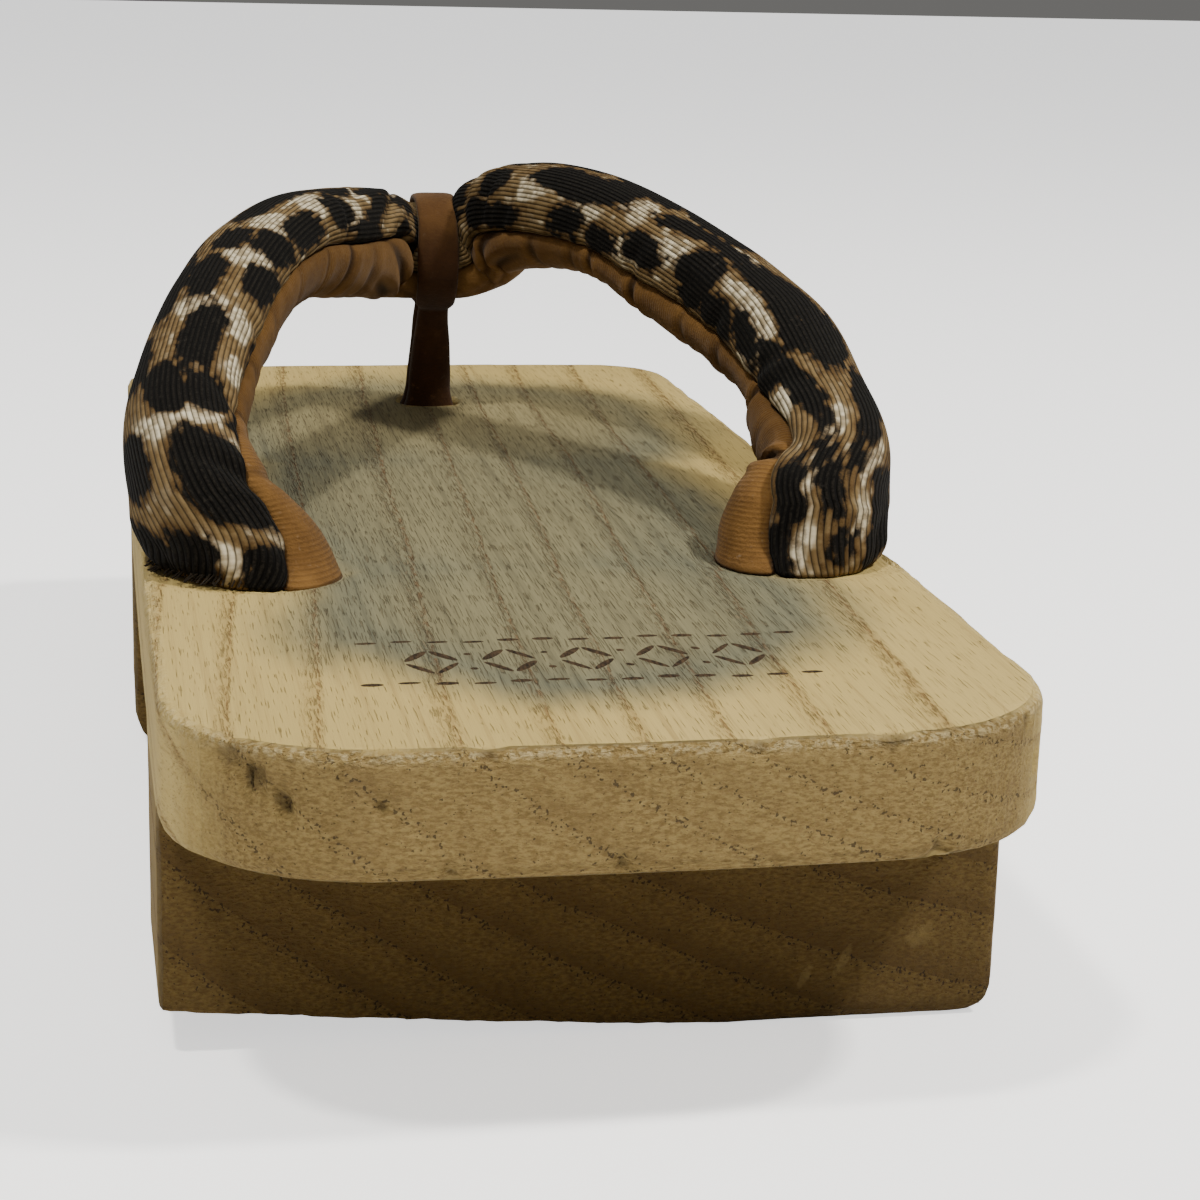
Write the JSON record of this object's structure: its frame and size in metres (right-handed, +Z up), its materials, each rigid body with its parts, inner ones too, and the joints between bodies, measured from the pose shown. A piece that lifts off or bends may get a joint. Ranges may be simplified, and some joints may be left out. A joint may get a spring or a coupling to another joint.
{
  "type": "geta sandal",
  "caption": "Wooden sandal carved from one block with teeth below, and a padded V strap held by a toe band and tie cords.",
  "frame": {"origin": "on the floor, at the middle of the footprint's bounding box", "axes": "+Y towards the toe, +Z up from the floor, +X to the wearer's right"},
  "size_m": [0.1045, 0.2346, 0.0881],
  "materials": {
    "paulownia": "bare, matt, soiled by wear",
    "print_cloth": "ribbed cloth with a spotted print",
    "velveteen": "short brown nap",
    "dark_velveteen": "short dark brown nap",
    "cord": "laid hemp"
  },
  "bodies": {
    "root": {"wooden_base": "paulownia", "strap_cover": "print_cloth", "strap_lining": "velveteen", "toe_band": "dark_velveteen", "left_tie_cord": "cord", "right_tie_cord": "cord", "front_tie_cord": "cord"}
  },
  "joints": []
}
